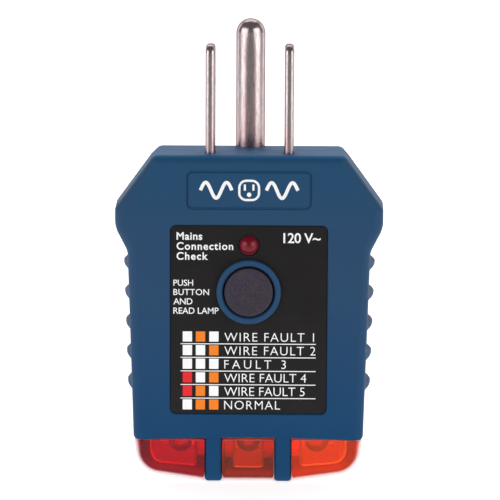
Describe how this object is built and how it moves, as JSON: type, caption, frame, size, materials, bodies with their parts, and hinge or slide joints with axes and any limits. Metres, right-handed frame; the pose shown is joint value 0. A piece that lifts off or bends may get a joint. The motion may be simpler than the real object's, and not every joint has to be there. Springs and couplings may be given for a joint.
{
  "type": "outlet tester plug",
  "caption": "Plug-in outlet tester: moulded body with finger ridges, flat blades and round ground pin, spring test button and lit lenses.",
  "frame": {"origin": "on the face that meets the outlet, midway between the two flat blades, on their centre plane", "axes": "+Z along the prongs, out of the face; -Y is the front with the label and button; +X is to the right seen from the front; the ground pin is at +Y"},
  "size_m": [0.0436, 0.0257, 0.0741],
  "materials": {
    "blue_shell": "fine moulded texture, semi-matte",
    "blue_shell_rear": "fine moulded texture, semi-matte",
    "label_ink": "printed film, satin",
    "red_lens": "translucent moulded lens, smooth",
    "amber_red_lens": "translucent moulded lens, smooth",
    "orange_lens": "translucent moulded lens, smooth",
    "lamp_glass": "clear glass envelope",
    "resistor_tan": "lacquered",
    "resistor_grey": "flameproof lacquer",
    "black_plastic": "moulded",
    "led_red": "diffused epoxy dome",
    "board_green": "solder mask over glass fibre",
    "button_charcoal": "fine textured",
    "spring_steel": "drawn wire",
    "tin_plate": "tin plated",
    "ivory_plastic": "moulded",
    "contact_brass": "plated",
    "nickel_plate": "satin nickel plating",
    "black_wire": "insulation",
    "white_wire": "insulation",
    "green_wire": "insulation",
    "screw_steel": "zinc plated"
  },
  "bodies": {
    "housing": {"front_shell": "blue_shell", "rear_shell": "blue_shell_rear", "face_label": "label_ink", "left_lens": "red_lens", "center_lens": "amber_red_lens", "right_lens": "orange_lens", "left_lamp": "lamp_glass", "center_lamp": "lamp_glass", "right_lamp": "lamp_glass", "left_resistor": "resistor_tan", "center_resistor": "resistor_tan", "right_resistor": "resistor_tan", "fault_resistor": "resistor_grey", "led_resistor": "resistor_tan", "led_diode": "black_plastic", "progress_led": "led_red", "circuit_board": "board_green", "button_spring": "spring_steel", "switch_body": "black_plastic", "switch_cover": "tin_plate", "switch_contacts": "contact_brass", "prong_holder": "black_plastic", "hot_blade": "nickel_plate", "neutral_blade": "nickel_plate", "ground_pin": "nickel_plate", "hot_wire": "black_wire", "neutral_wire": "white_wire", "ground_wire": "green_wire", "case_screws": "screw_steel"},
    "button": {"test_button": "button_charcoal", "switch_plunger": "ivory_plastic"}
  },
  "joints": [
    {"name": "test_press", "type": "slide", "parent": "housing", "child": "button", "axis": [0, 1, 0], "range_m": [0, 0.0013], "stiffness_N_per_m": 900, "springref_m": -0.0008, "deforming": ["button_spring"]}
  ]
}
